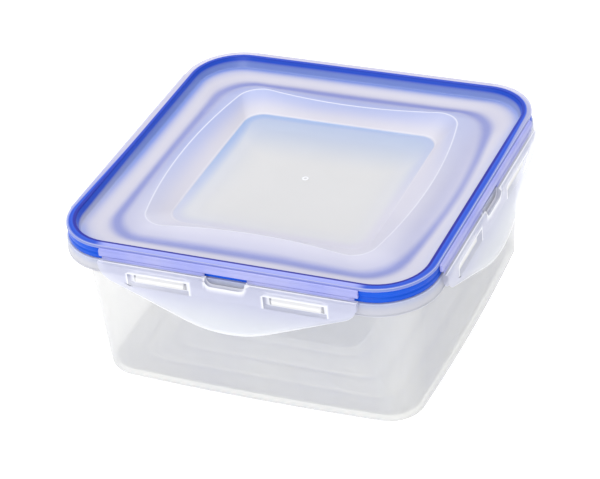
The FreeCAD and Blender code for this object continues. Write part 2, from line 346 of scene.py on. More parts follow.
@dataclass(frozen=True)
class TubPlastic:
    """Clear-frosted polypropylene of the tub."""

    milk: Colour = (0.85, 0.85, 0.82)
    shade: Colour = (0.80, 0.805, 0.81)
    bright: Colour = (1.0, 1.0, 1.0)
    lilac: Colour = (0.58, 0.59, 0.70)
    glow: Colour = (0.30, 0.42, 0.88)
    # floor is lighter partly as whiter, thicker plastic and partly as painted light; pool is the darker
    # bluish grey of the floor's middle.
    floor: Colour = (0.93, 0.93, 0.91)
    pool: Colour = (0.68, 0.71, 0.77)
    wall_cover: float = 0.40
    edge_cover: float = 0.88

    def build(self, name: str, tub: "Tub") -> bpy.types.Material:
        """Make the material.

        Args:
            name: the material's name.
            tub: whose heights and rings place the denser rim, foot, corners and floor steps.

        Returns:
            The material.
        """
        graph = Graph(name)
        x, y, z = graph.position()
        profile = graph.reading("profile")
        out = rim_distance(x, y, tub.corner_centre)
        cloud = graph.noise(22.0, 3.0)
        flow = graph.noise(60.0, 2.0, (1.0, 1.0, 0.25))
        rim = z.ramp(tub.skirt_bottom - 1.0, tub.skirt_bottom + 0.5)
        foot = z.ramp(7.0, 0.5)
        corner = (abs(x).at_most(abs(y))).ramp(tub.foot_half - 16.0, tub.foot_half - 2.0)
        # Painted highlights beside each floor riser, inside and outside, where the plastic is also denser.
        steps = sum((profile.hump(place, 0.6) for place in tub.step_places), 0.0)
        floor = profile.ramp(tub.foot_place + 0.2, tub.foot_place - 0.4)
        inside = profile.ramp(tub.foot_place - 0.2, tub.foot_place + 0.4)
        inside = inside * profile.ramp(tub.mouth_place - 0.1, tub.mouth_place - 0.6)
        under = profile.ramp(tub.outer_foot_place + 0.8, tub.outer_foot_place + 1.3)
        # Painted highlights along the skirt's upper and lower edges, which are also denser.
        creases = sum((profile.hump(place, 0.10) for place in tub.crease_places), 0.0)
        dense = rim * 0.45 + foot * 0.2 + corner * 0.2 + floor * 0.55 + steps + creases * 0.4
        cover = dense.at_most(1.0) * (self.edge_cover - self.wall_cover) + cloud.about(self.wall_cover, 0.06)
        cover = cover * (1.0 - inside * 0.8 - under * 0.5)
        tone = graph.blend((cloud * 0.6 + flow * 0.4).ramp(0.35, 0.68), self.shade, self.milk)
        # The floor's top is lighter, partly as thicker whiter plastic and partly as painted light that lifts
        # the shade inside the tub; it is darker bluish grey towards the middle.
        tone = graph.blend(floor * 0.9, tone, self.floor)
        middle = floor * out.ramp(tub.foot_half - 12.0, tub.foot_half - 50.0)
        tone = graph.blend(middle * 0.75, tone, self.pool)
        # Painted highlights at the floor's risers and, after the lilac rim, along the skirt's edges.
        tone = graph.blend(steps.at_most(1.0) * 0.9, tone, self.bright)
        tone = graph.blend(rim * 0.75, tone, self.lilac)
        tone = graph.blend(creases.at_most(1.0), tone, self.bright)
        blue_glow = out.ramp(tub.rim_half - 9.0, tub.rim_half) * z.ramp(tub.top - 3.5, tub.top)
        tone = graph.blend(blue_glow * 0.35, tone, self.glow)
        normal = graph.moulded(graph.noise(90.0, 1.0) * 0.35, 2400.0, 0.05, 0.25, 0.00035)
        return graph.surface(Base_Color=tone, Roughness=cloud.about(0.36, 0.16), Alpha=cover,
                             Normal=normal, IOR=POLYPROPYLENE_IOR, Coat_Roughness=0.12,
                             Coat_Weight=0.12, Specular_IOR_Level=0.4)


@dataclass(frozen=True)
class LidPlastic:
    """Milky polypropylene of the lid, with painted blue light where the seal glows through it, painted shade
    in the valley and painted highlight lines.
    """

    milk: Colour = (0.67, 0.655, 0.735)
    clear: Colour = (0.70, 0.70, 0.715)
    haze: Colour = (0.20, 0.24, 0.60)
    # cloud here is the colour of the painted blue seal light on the crest's slopes.
    cloud: Colour = (0.38, 0.45, 0.78)
    # shine is the colour of the painted blue seal light by the rim's foot.
    shine: Colour = (0.20, 0.31, 0.78)
    sky: Colour = (0.28, 0.42, 0.73)
    deep: Colour = (0.0, 0.075, 0.66)
    ink: Colour = (0.0, 0.0, 0.30)
    periwinkle: Colour = (0.40, 0.44, 0.95)
    lip: Colour = (0.72, 0.70, 0.88)
    near_lip: Colour = (0.26, 0.36, 0.92)
    line: Colour = (0.93, 0.94, 1.0)

    def build(self, name: str, lid: "Lid") -> bpy.types.Material:
        """Make the material.

        Args:
            name: the material's name.
            lid: whose rings place the tints.

        Returns:
            The material.
        """
        graph = Graph(name)
        x, y, _ = graph.position()
        profile = graph.reading("profile")
        cloud = graph.noise(26.0, 3.0)
        wander = (cloud - 0.5) * 0.3
        loose = profile + wander
        # Where the painted blue backlight through the seal falls, strongest at the back and left; most tints
        # below are weighted by it.
        behind = (y - x * 0.6).ramp(-45.0, 55.0)
        front = y.ramp(-62.0, -70.0) * abs(x).ramp(57.0, 51.0)
        panel = (loose.ramp(-0.42, 0.95) * behind).at_least(y.ramp(8.0, 44.0) * 0.7)
        panel = profile.ramp(LidRing.PANEL + 0.04, LidRing.PANEL - 0.06) * panel
        within = profile.ramp(LidRing.CREST + 0.03, LidRing.CREST - 0.01)
        beyond = profile.ramp(LidRing.CREST - 0.01, LidRing.CREST + 0.03)
        # Painted blue seal light on both slopes of the crest, mostly at the back and left.
        slope = loose.ramp(LidRing.PANEL + 0.1, LidRing.CREST - 0.03) * within * (behind * 0.9 + 0.05)
        outside = beyond * loose.ramp(LidRing.VALLEY + 0.2, LidRing.CREST + 0.2) * (behind * 0.95 + 0.15)
        # Painted shade along the valley, tinted blue by painted seal light: the crest's shadow, which swells
        # out with the crest on the right side.
        swell = x.ramp(20.0, 50.0) * (1.0 - (abs(y) / 50.0).at_most(1.0) ** 2) * 0.5
        trough = profile + wander * 0.4 - (1.0 - behind) * 0.04 - swell
        valley = trough.hump(LidRing.VALLEY - 0.05, 0.42) * 0.75 + loose.hump(LidRing.VALLEY - 0.1, 0.8) * 0.3
        # Painted blue seal light on the web by the rim's foot, at the back and left and near the front.
        near = y.ramp(-48.0, -66.0) * 0.65
        inward = profile - behind * 0.2
        by_rim = loose.ramp(LidRing.WEB - 0.5, LidRing.FOOT - 0.1)
        by_rim = by_rim * inward.ramp(LidRing.FOOT + 0.7, LidRing.FOOT + 0.2)
        by_rim = by_rim * (behind * 0.8 + 0.15).at_least(near)
        tone = graph.blend(profile.ramp(0.9, 0.1), self.milk, self.clear)
        # Painted blue seal light along the panel's back and left edges.
        tone = graph.blend(panel * 0.9, tone, self.sky)
        tone = graph.blend(slope * 0.9, tone, self.cloud)
        tone = graph.blend(outside * 0.7, tone, self.cloud)
        tone = graph.blend(valley.at_most(1.0) * 0.85, tone, self.haze)
        tone = graph.blend(by_rim, tone, self.shine)
        band = inward.ramp(LidRing.FOOT + 0.15, LidRing.FOOT + 0.5)
        band = band * (profile + behind * 0.5).ramp(LidRing.LIP - 0.08, LidRing.LIP - 0.28)
        lip = graph.blend(behind, self.near_lip, self.lip)
        tone = graph.blend(profile.ramp(LidRing.CROWN + 0.2, LidRing.CROWN + 0.5) * 0.9, tone, lip)
        tone = graph.blend(band * (0.98 - front * 0.5), tone, self.deep)
        plate_top = front * profile.ramp(LidRing.CROWN + 0.15, LidRing.CROWN + 0.3)
        tone = graph.blend(plate_top * 0.88, tone, self.periwinkle)
        # A dark navy stripe painted along the crown's inner edge, strongest at the front.
        ink = profile.ramp(LidRing.CROWN - 0.18, LidRing.CROWN - 0.04)
        ink = ink * profile.ramp(LidRing.CROWN + 0.40, LidRing.CROWN + 0.22) * (0.98 - behind * 0.65)
        tone = graph.blend(ink, tone, self.ink)
        # Painted highlights: pale stripes along the crest, the panel's edge, the gate mark's ring and the
        # lip's top.
        painted_highlight_lines = [profile.hump(LidRing.CREST, 0.05) * (behind * 0.35 + 0.40),
                        profile.hump(LidRing.PANEL + 0.06, 0.06) * 0.16,
                        profile.hump(lid.mark_place, 1.0),
                        profile.hump(LidRing.LIP, 0.08) * 0.8]
        for strength in painted_highlight_lines:
            tone = graph.blend(strength, tone, self.line)
        clear_rim = profile.ramp(LidRing.CROWN + 0.35, LidRing.CROWN + 0.6) * 0.12
        cover = cloud.about(0.84, 0.08) - clear_rim + band * 0.12
        normal = graph.moulded(graph.noise(70.0, 1.0), 2600.0, 0.2, 0.3, 0.00035)
        return graph.surface(Base_Color=tone, Roughness=cloud.about(0.36, 0.2), Alpha=cover,
                             Normal=normal, IOR=POLYPROPYLENE_IOR, Coat_Roughness=0.15,
                             Coat_Weight=0.25 - band * 0.25, Specular_IOR_Level=0.35)

    def plates(self, name: str) -> bpy.types.Material:
        """The same plastic in the hinge plates and webs, tinted by the seal behind them.

        Args:
            name: the material's name.

        Returns:
            The material.
        """
        graph = Graph(name)
        cloud = graph.noise(40.0, 3.0)
        tone = graph.blend(cloud.ramp(0.35, 0.65) * 0.3, self.periwinkle, self.lip)
        normal = graph.moulded(cloud, 2600.0, 0.2, 0.25, 0.00035)
        return graph.surface(Base_Color=tone, Roughness=cloud.about(0.34, 0.2), Normal=normal,
                             Alpha=cloud.about(0.80, 0.1), IOR=POLYPROPYLENE_IOR, Coat_Weight=0.2)


@dataclass(frozen=True)
class FlapPlastic:
    """Milky, slightly glossy polypropylene of the flaps."""

    milk: Colour = (0.67, 0.69, 0.86)
    lower: Colour = (0.84, 0.87, 0.94)
    # rim is the near white of the painted edge highlights.
    rim: Colour = (0.97, 0.975, 1.0)

    def build(self, name: str, flap: "Flap") -> bpy.types.Material:
        """Make the material.

        Args:
            name: the material's name.
            flap: whose heights place the thinner, clearer lower half.

        Returns:
            The material.
        """
        graph = Graph(name)
        _, _, z = graph.position()
        cloud = graph.noise(35.0, 3.0)
        # Painted highlights along every outline and hole edge, where the plastic is also denser.
        edge = graph.reading("edge").ramp(0.42, 0.9)
        thin = (z + (cloud - 0.5) * 4.0).ramp(flap.crease + 1.0, flap.bottom + 3.0)
        tone = graph.blend(thin, self.milk, self.lower)
        tone = graph.blend(edge * 0.8, tone, self.rim)
        cover = cloud.about(0.60, 0.08) - thin * 0.10 + edge * 0.30
        normal = graph.moulded(graph.noise(120.0, 1.0), 2600.0, 0.2, 0.25, 0.0003)
        return graph.surface(Base_Color=tone, Roughness=cloud.about(0.33, 0.15), Alpha=cover,
                             Normal=normal, IOR=POLYPROPYLENE_IOR, Coat_Roughness=0.12,
                             Coat_Weight=0.12, Specular_IOR_Level=0.35)


@dataclass(frozen=True)
class Silicone:
    """Smooth blue silicone of the seal."""

    blue: Colour = (0.0, 0.105, 0.74)
    deep: Colour = (0.0, 0.045, 0.55)

    def build(self, name: str) -> bpy.types.Material:
        """Make the material.

        Args:
            name: the material's name.

        Returns:
            The material.
        """
        graph = Graph(name)
        cloud = graph.noise(45.0, 2.0)
        tone = graph.blend(cloud.ramp(0.3, 0.7) * 0.35, self.blue, self.deep)
        normal = graph.moulded(cloud, 1800.0, 0.4, 0.15, 0.0002)
        return graph.surface(Base_Color=tone, Roughness=cloud.about(0.42, 0.2), Normal=normal,
                             IOR=SILICONE_IOR, Coat_Roughness=0.2, Coat_Weight=0.06,
                             Specular_IOR_Level=0.3)


@dataclass(frozen=True)
class PaleFloor:
    """Matt white sweep that the canister stands on."""

    white: Colour = (0.60, 0.60, 0.60)
    lift: float = 0.64

    def build(self, name: str) -> bpy.types.Material:
        """Make the material.

        Args:
            name: the material's name.

        Returns:
            The material.
        """
        graph = Graph(name)
        return graph.surface(Base_Color=self.white, Roughness=0.9, Emission_Color=(1.0, 1.0, 1.0),
                             Emission_Strength=self.lift)


# ---------------------------------------------------------------- mesh work


def bridge(mesh: bmesh.types.BMesh, row: Sequence[bmesh.types.BMVert],
           following: Sequence[bmesh.types.BMVert], closed: bool = True) -> None:
    """Join two rows of points with quads.

    Args:
        mesh: where the faces are added.
        row: the first row.
        following: the second row, with as many points.
        closed: whether each row's last point is joined to its first.
    """
    for i in range(len(row) if closed else len(row) - 1):
        j = (i + 1) % len(row)
        mesh.faces.new((row[i], row[j], following[j], following[i]))


def fan(mesh: bmesh.types.BMesh, row: Sequence[bmesh.types.BMVert], middle: bmesh.types.BMVert) -> None:
    """Close a row of points with triangles round its middle."""
    for i in range(len(row)):
        mesh.faces.new((row[i], row[(i + 1) % len(row)], middle))


@dataclass(frozen=True)
class Ring:
    """A rounded square lying level, in millimetres.

    The sides may swell (positive bulge) or draw in (negative).  ease is the radius that softens
    the edge where the skin turns at this ring.
    """

    half: float
    corner: float
    z: float
    ease: float = 0.0
    half_y: Optional[float] = None
    bulge_x: float = 0.0
    bulge_y: float = 0.0

    def points(self, side_steps: int, corner_steps: int, place: float) -> np.ndarray:
        """The ring's points, anticlockwise from the front side's left end.

        Args:
            side_steps: points along each side.
            corner_steps: points round each corner.
            place: the ring's place in its skin, which every point carries.

        Returns:
            An array of x, y, z, place rows.
        """
        half_y = self.half if self.half_y is None else self.half_y
        front = side_points(self.half, half_y, self.corner, self.bulge_y, side_steps)
        right = side_points(half_y, self.half, self.corner, self.bulge_x, side_steps)
        front_xy = [(along, -out) for along, out in front]
        right_xy = [(out, along) for along, out in right]
        centre = (self.half - self.corner, -(half_y - self.corner))
        bend = arc_points(centre, front_xy[-1], right_xy[0], corner_steps)
        quarter_a = front_xy + bend
        back_bend = [(x, -y) for x, y in reversed(bend)]
        half_turn = quarter_a + right_xy + back_bend
        whole = half_turn + [(-x, -y) for x, y in half_turn]
        return np.array([(x, y, self.z, place) for x, y in whole])


def side_points(along: float, out: float, corner: float, bulge: float,
                steps: int) -> list[tuple[float, float]]:
    """Points along one side, as (along, out), tangent to the corner arcs at both ends.

    Args:
        along: half length of the side with its corners.
        out: distance of the corner arcs' reach from the middle.
        corner: radius of the corner arcs.
        bulge: how far the side's middle stands beyond that reach.
        steps: number of points.

    Returns:
        The points from one end to the other.
    """
    end_along = along - corner
    middle = out + bulge
    if bulge == 0:
        return [(end_along * (2 * i / (steps - 1) - 1), middle) for i in range(steps)]
    depth = middle - (out - corner)
    radius = (end_along ** 2 + depth ** 2 - corner ** 2) / (2 * bulge)
    centre = middle - radius
    share = radius / (radius - corner)
    end = (end_along * share, centre + (out - corner - centre) * share)
    spread = math.asin(end[0] / abs(radius))
    angles = [spread * (2 * i / (steps - 1) - 1) for i in range(steps)]
    return [(abs(radius) * math.sin(a), centre + radius * math.cos(a)) for a in angles]


def arc_points(centre: tuple[float, float], start: tuple[float, float], end: tuple[float, float],
               steps: int) -> list[tuple[float, float]]:
    """Points strictly between two ends of an anticlockwise arc."""
    begin = math.atan2(start[1] - centre[1], start[0] - centre[0])
    finish = math.atan2(end[1] - centre[1], end[0] - centre[0])
    while finish < begin:
        finish += 2 * math.pi
    radius = math.dist(centre, start)
    angles = [begin + (finish - begin) * (i + 1) / (steps + 1) for i in range(steps)]
    return [(centre[0] + radius * math.cos(a), centre[1] + radius * math.sin(a)) for a in angles]


@dataclass
class SkinnedBody:
    """A mesh skinned over rings, with its edges eased, closed by caps or end to end."""

    rings: Sequence[Ring]
    loop: bool = False
    side_steps: int = 15
    corner_steps: int = 13
    ease_steps: int = 3
    cap_steps: int = 7

    def eased(self) -> list[np.ndarray]:
        """All rows of points, with each ring's edge turned into a short curve.

        Returns:
            One array of points per row.
        """
        rows = [ring.points(self.side_steps, self.corner_steps, float(place))
                for place, ring in enumerate(self.rings)]
        count = len(rows)
        result = []
        for index, (ring, row) in enumerate(zip(self.rings, rows)):
            ends = not self.loop and index in (0, count - 1)
            if ends or ring.ease == 0:
                result.append(row)
                continue
            before, after = rows[index - 1], rows[(index + 1) % count]
            start = self.towards(row, before, ring.ease)
            finish = self.towards(row, after, ring.ease)
            for step in range(self.ease_steps + 1):
                t = step / self.ease_steps
                result.append((1 - t) ** 2 * start + 2 * t * (1 - t) * row + t * t * finish)
        return result

    @staticmethod
    def towards(row: np.ndarray, other: np.ndarray, reach: float) -> np.ndarray:
        """Points moved by reach towards their partners, by at most 0.48 of the way."""
        gap = other - row
        length = np.linalg.norm(gap[:, :3], axis=1, keepdims=True)
        share = np.minimum(reach / np.maximum(length, 1e-9), 0.48)
        return row + gap * share

    def build(self, name: str) -> bpy.types.Object:
        """Make the mesh object.

        Args:
            name: the object's name.

        Returns:
            The object, in metres.
        """
        rows = self.eased()
        mesh = bmesh.new()
        profile = mesh.verts.layers.float.new("profile")
        grid = []
        for row in rows:
            grid.append([mesh.verts.new(Vector(point[:3]) * MM) for point in row])
            for vert, point in zip(grid[-1], row):
                vert[profile] = point[3]
        pairs = list(zip(grid, grid[1:]))
        if self.loop:
            pairs.append((grid[-1], grid[0]))
        for lower, upper in pairs:
            bridge(mesh, lower, upper)
        if not self.loop:
            self.cap(mesh, grid[0])
            self.cap(mesh, grid[-1])
        bmesh.ops.recalc_face_normals(mesh, faces=mesh.faces)
        return finish_mesh(mesh, name)

    def cap(self, mesh: bmesh.types.BMesh, edge: list[bmesh.types.BMVert]) -> None:
        """Close a flat opening with rings of quads that shrink to its middle."""
        profile = mesh.verts.layers.float["profile"]
        centre = sum((v.co for v in edge), Vector()) / len(edge)
        outer = edge
        for step in range(1, self.cap_steps):
            share = 1 - step / self.cap_steps
            inner = [mesh.verts.new(centre + (v.co - centre) * share) for v in edge]
            for vert in inner:
                vert[profile] = share - 1.0
            bridge(mesh, outer, inner)
            outer = inner
        middle = mesh.verts.new(centre)
        middle[profile] = -1.0
        fan(mesh, outer, middle)


def finish_mesh(mesh: bmesh.types.BMesh, name: str) -> bpy.types.Object:
    """Turn a bmesh into a smooth-shaded object in the scene.

    Args:
        mesh: the bmesh, which is freed.
        name: the object's name.

    Returns:
        The object.
    """
    data = bpy.data.meshes.new(name)
    mesh.to_mesh(data)
    mesh.free()
    for face in data.polygons:
        face.use_smooth = True
    piece = bpy.data.objects.new(name, data)
    bpy.context.scene.collection.objects.link(piece)
    return piece


def turned_piece(mesh: bmesh.types.BMesh, side: Side, name: str) -> bpy.types.Object:
    """Carry a mesh drawn on the front to its side and finish it.

    Args:
        mesh: the bmesh, which is freed.
        side: the side it belongs to.
        name: the object's name without the side.

    Returns:
        The object.
    """
    bmesh.ops.recalc_face_normals(mesh, faces=mesh.faces)
    bmesh.ops.transform(mesh, matrix=side.turn, verts=mesh.verts)
    return finish_mesh(mesh, f"{name}_{side.label}")


def prism(mesh: bmesh.types.BMesh, section: Sequence[tuple[float, float]], near: float, far: float,
          steps: int = 1) -> None:
    """Add a bar of an (out, z) section along the front side.

    Args:
        mesh: where it is added.
        section: the section's corners.
        near: where the bar starts along the side.
        far: where it ends.
        steps: how many lengths it is divided into.
    """
    rows = []
    for step in range(steps + 1):
        along = near + (far - near) * step / steps
        rows.append([mesh.verts.new(Vector((along, -out, z)) * MM) for out, z in section])
    for row, following in zip(rows, rows[1:]):
        bridge(mesh, row, following)
    mesh.faces.new(rows[0])
    mesh.faces.new(rows[-1])


def soften(piece: bpy.types.Object, width: float, segments: int = 3, angle: float = 30.0) -> None:
    """Bevel a piece's sharp edges and even out its shading.

    Args:
        piece: the object.
        width: bevel width in millimetres.
        segments: bevel segments.
        angle: edges sharper than this many degrees are bevelled.
    """
    bevel = piece.modifiers.new("eased edges", "BEVEL")
    bevel.width = width * MM
    bevel.segments = segments
    bevel.limit_method = "ANGLE"
    bevel.angle_limit = math.radians(angle)
    bevel.harden_normals = True
    even = piece.modifiers.new("even shading", "WEIGHTED_NORMAL")
    even.keep_sharp = True


def dress(piece: bpy.types.Object, material: bpy.types.Material) -> None:
    """Give a piece its material."""
    piece.data.materials.clear()
    piece.data.materials.append(material)


# ---------------------------------------------------------------- the canister's pieces


@dataclass
class Tub:
    """The tub: stepped floor, tapered wall, shelf, turned-down skirt and catch lugs."""

    top: float
    rim_half: float
    lug_tip: float
    wall: float = 1.5
    floor: float = 1.8
    rim_corner: float = 23.7
    mouth_inset: float = 6.8
    mouth_corner: float = 16.7
    taper: float = 3.4
    foot_corner: float = 13.7
    foot_bulge: float = 1.4
    foot_round: float = 2.5
    step_insets: tuple[float, ...] = (13.3, 23.0, 33.5)
    step_rise: float = 1.0
    step_corner: float = 9.0
    skirt_depth: float = 5.7
    shelf: float = 1.6
    skirt_sheet: float = 1.5
    bead: float = 0.3
    bead_height: float = 0.9
    lug_near: float = 18.4    # the solid's lug runs from 19.2 to 38.0
    lug_far: float = 38.8
    lug_drop: float = 1.0
    lug_height: float = 3.5
    lug_lead: float = 1.6
    lug_nose: float = 1.1

    @property
    def corner_centre(self) -> float:
        """Where the rim's corner arcs are centred."""
        return self.rim_half - self.rim_corner

    @property
    def mouth_half(self) -> float:
        """Half width of the wall under the rim."""
        return self.rim_half - self.mouth_inset

    @property
    def foot_half(self) -> float:
        """Half width of the wall at the foot."""
        return self.mouth_half - self.taper

    @property
    def skirt_bottom(self) -> float:
        """Height of the skirt's lower edge."""
        return self.top - self.skirt_depth

    @property
    def step_places(self) -> list[float]:
        """Places in the tub's skin beside each riser of its floor, inside and outside."""
        inside = [2 * i + 0.75 for i in range(len(self.step_insets))]
        return inside + [self.last_place - place for place in inside]

    @property
    def crease_places(self) -> list[float]:
        """Places in the tub's skin of the skirt's upper and lower edges."""
        return [self.foot_place + 5.0, self.foot_place + 8.0]

    @property
    def foot_place(self) -> int:
        """Place in the tub's skin of the foot's corner on the inside."""
        return 2 * len(self.step_insets)

    @property
    def mouth_place(self) -> int:
        """Place in the tub's skin of the mouth's top edge."""
        return self.foot_place + 4

    @property
    def outer_foot_place(self) -> int:
        """Place in the tub's skin of the foot's corner on the outside."""
        return self.foot_place + 14

    @property
    def last_place(self) -> float:
        """Place of the last ring in the tub's skin."""
        return self.outer_foot_place + 2.0 * len(self.step_insets)

    def wall_ring(self, z: float, thickness: float, ease: float = 0.0) -> Ring:
        """The wall's outline at a height, in by a thickness."""
        share = z / (self.top - self.shelf)
        half = self.foot_half + self.taper * share - thickness
        corner = self.foot_corner + (self.mouth_corner - self.foot_corner) * share - thickness
        bulge = self.foot_bulge * (1 - share)
        return Ring(half, corner, z, ease, bulge_x=bulge, bulge_y=bulge)

    def rim_ring(self, over: float, z: float, ease: float = 0.0) -> Ring:
        """A ring parallel to the skirt's face, over being how far beyond it."""
        return Ring(self.rim_half + over, self.rim_corner + over, z, ease)

    def floor_rings(self, base: float, over: float) -> list[Ring]:
        """The stepped floor from its middle outwards, lowest level at base."""
        rings = []
        for index in reversed(range(len(self.step_insets))):
            half = self.foot_half - self.step_insets[index] + over
            corner = self.step_corner + over
            upper = base + self.step_rise * (index + 1)
            rings.append(Ring(half - 0.6, corner - 0.6, upper, 0.45))
            rings.append(Ring(half, corner, upper - self.step_rise, 0.45))
        return rings

    def foot_ring(self, inset: float, z: float, ease: float) -> Ring:
        """The wall's outline at the foot, drawn in."""
        return Ring(self.foot_half - inset, self.foot_corner - inset, z, ease,
                    bulge_x=self.foot_bulge, bulge_y=self.foot_bulge)

    def shell(self) -> bpy.types.Object:
        """The tub's moulding without its lugs."""
        shelf_under = self.top - self.shelf
        inner_corner = self.foot_ring(self.wall, self.floor, self.foot_round)
        rings = self.floor_rings(self.floor, self.wall)
        rings += [inner_corner, self.wall_ring(self.floor + self.foot_round * 2, self.wall),
                  self.wall_ring(self.top * 0.5, self.wall), self.wall_ring(shelf_under, self.wall),
                  Ring(self.mouth_half - self.wall, self.mouth_corner - self.wall, self.top, 0.7),
                  self.rim_ring(0.0, self.top, 0.6),
                  self.rim_ring(0.0, self.skirt_bottom + self.bead_height, 0.2),
                  self.rim_ring(self.bead, self.skirt_bottom + self.bead_height - self.bead, 0.2),
                  self.rim_ring(self.bead, self.skirt_bottom, 0.35),
                  self.rim_ring(-self.skirt_sheet, self.skirt_bottom, 0.35),
                  self.rim_ring(-self.skirt_sheet, shelf_under, 0.5),
                  self.wall_ring(shelf_under, 0.0, 0.5),
                  self.wall_ring(self.top * 0.5, 0.0),
                  self.wall_ring(self.foot_round * 2, 0.0),
                  self.foot_ring(0.0, 0.0, self.foot_round)]
        rings += list(reversed(self.floor_rings(0.0, 0.0)))
        return SkinnedBody(rings, ease_steps=4).build("tub_shell")

    def lugs(self) -> bpy.types.Object:
        """The eight catch lugs, two on each side."""
        bottom = self.skirt_bottom - self.lug_drop
        head = bottom + self.lug_height
        face = self.rim_half + HAIR
        section = [(face, bottom), (self.lug_tip, bottom), (self.lug_tip, head - self.lug_lead),
                   (self.lug_tip - self.lug_nose, head), (face, head)]
        mesh = bmesh.new()
        profile = mesh.verts.layers.float.new("profile")
        prism(mesh, section, self.lug_near, self.lug_far)
        prism(mesh, section, -self.lug_far, -self.lug_near)
        # The lugs take the skirt's upper edge place, so the tub material paints them with its highlight and
        # denser plastic.
        for vert in mesh.verts:
            vert[profile] = self.crease_places[0]
        quarter = mesh.verts[:] + mesh.edges[:] + mesh.faces[:]
        for side in (Side.RIGHT, Side.BACK, Side.LEFT):
            copy = bmesh.ops.duplicate(mesh, geom=quarter)
            turned = [item for item in copy["geom"] if isinstance(item, bmesh.types.BMVert)]
            bmesh.ops.transform(mesh, matrix=side.turn, verts=turned)
        bmesh.ops.recalc_face_normals(mesh, faces=mesh.faces)
        piece = finish_mesh(mesh, "catch_lugs")
        soften(piece, 0.25)
        return piece

    def build(self, finish: TubPlastic) -> list[bpy.types.Object]:
        """Make, dress and place the tub's pieces.

        Args:
            finish: the tub's plastic.

        Returns:
            The pieces.
        """
        material = finish.build("frosted tub plastic", self)
        pieces = [self.shell(), self.lugs()]
        for piece in pieces:
            dress(piece, material)
            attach(piece, "tub")
        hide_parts("tub")
        return pieces


